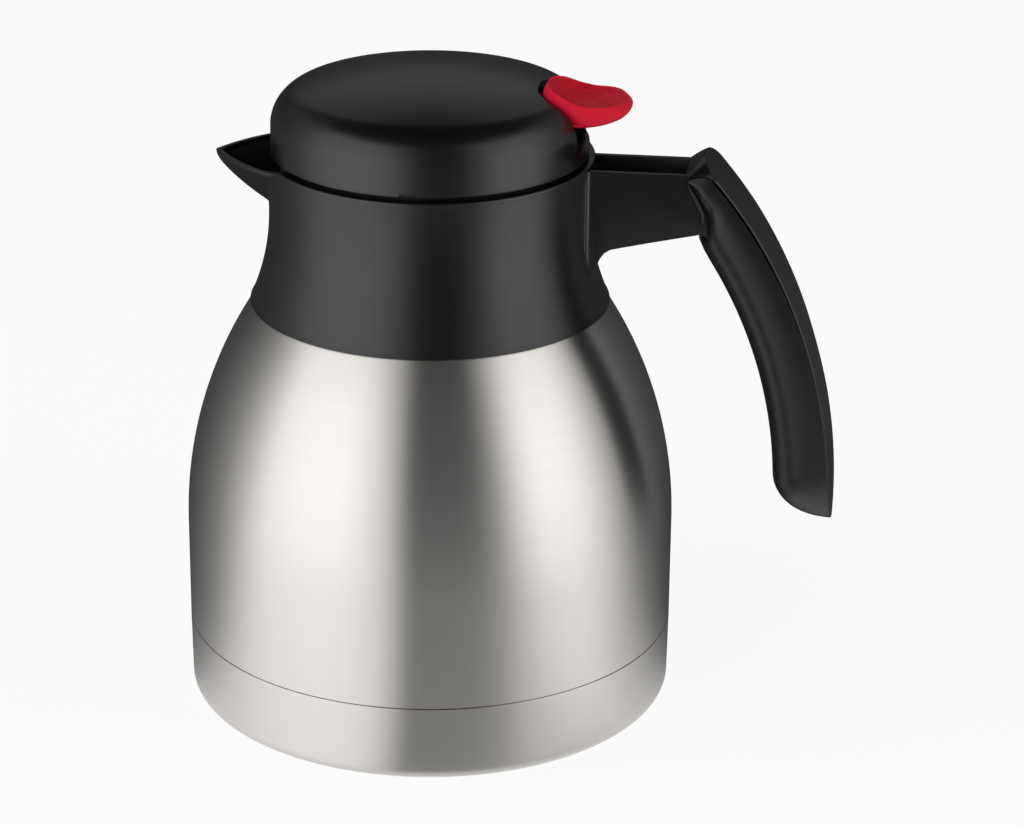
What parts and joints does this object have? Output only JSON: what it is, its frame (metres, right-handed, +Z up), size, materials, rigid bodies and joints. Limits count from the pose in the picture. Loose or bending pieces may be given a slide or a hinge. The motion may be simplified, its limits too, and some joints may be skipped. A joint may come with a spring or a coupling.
{
  "type": "thermal carafe",
  "caption": "Round vacuum carafe with a steel body, plastic collar with pouring spout and side handle, and a screw-in stopper whose thumb lever opens the pour valve.",
  "frame": {"origin": "centre of the ring that the carafe stands on", "axes": "+Z up along the axis of the flask, +X towards the handle, -X towards the spout"},
  "size_m": [0.1727, 0.13, 0.1714],
  "materials": {
    "brushed_steel": "fine brushed round the body, satin",
    "plain_steel": "bright, unpolished sheet",
    "metal_foil": "bright foil",
    "getter_alloy": "dull sintered metal",
    "black_plastic": "fine matte grain",
    "dark_plastic": "plain moulded, food grade",
    "red_plastic": "satin moulded",
    "grey_silicone": "soft satin",
    "white_foam": "fine closed cells",
    "spring_steel": "drawn wire",
    "zinc_steel": "zinc plated"
  },
  "bodies": {
    "jug": {"outer_shell": "brushed_steel", "base_cap": "brushed_steel", "vacuum_bottom": "plain_steel", "vacuum_plug": "plain_steel", "getter": "getter_alloy", "inner_liner": "plain_steel", "radiation_foil": "metal_foil", "neck_seal": "grey_silicone", "collar": "black_plastic", "handle_grip": "black_plastic", "grip_cover": "black_plastic", "grip_screw": "zinc_steel"},
    "seal_ring": {"stopper_seal": "grey_silicone"},
    "stopper": {"stopper_body": "dark_plastic", "stopper_insulation": "white_foam", "insulation_cover": "dark_plastic", "stopper_top": "dark_plastic", "stem_seal": "grey_silicone", "top_screws": "zinc_steel", "return_spring": "spring_steel", "lever_pin": "plain_steel", "lid_dome": "black_plastic"},
    "lever": {"press_lever": "red_plastic"},
    "valve": {"valve_stem": "dark_plastic", "valve_seal": "grey_silicone", "valve_disc": "dark_plastic", "spring_seat": "dark_plastic"}
  },
  "joints": [
    {"name": "stopper_lift", "type": "slide", "parent": "jug", "child": "seal_ring", "axis": [0, 0, 1], "range_m": [0, 0.008]},
    {"name": "stopper_turn", "type": "hinge", "parent": "seal_ring", "child": "stopper", "pos_m": [0, 0, 0.129], "axis": [0, 0, 1], "range_deg": [0, 240]},
    {"name": "lever_press", "type": "hinge", "parent": "stopper", "child": "lever", "pos_m": [0.032, 0, 0.1556], "axis": [0, 1, 0], "range_deg": [0, 10], "stiffness_Nm_per_rad": 0.5, "springref_deg": -5.73},
    {"name": "valve_lift", "type": "slide", "parent": "stopper", "child": "valve", "axis": [0, 0, 1], "range_m": [0, 0.0056], "deforming": ["return_spring"]}
  ],
  "couplings": [
    {"joint": "stopper_lift", "follows": "stopper_turn", "m_per_rad": 0.0019099},
    {"joint": "valve_lift", "follows": "lever_press", "m_per_rad": 0.03184}
  ]
}
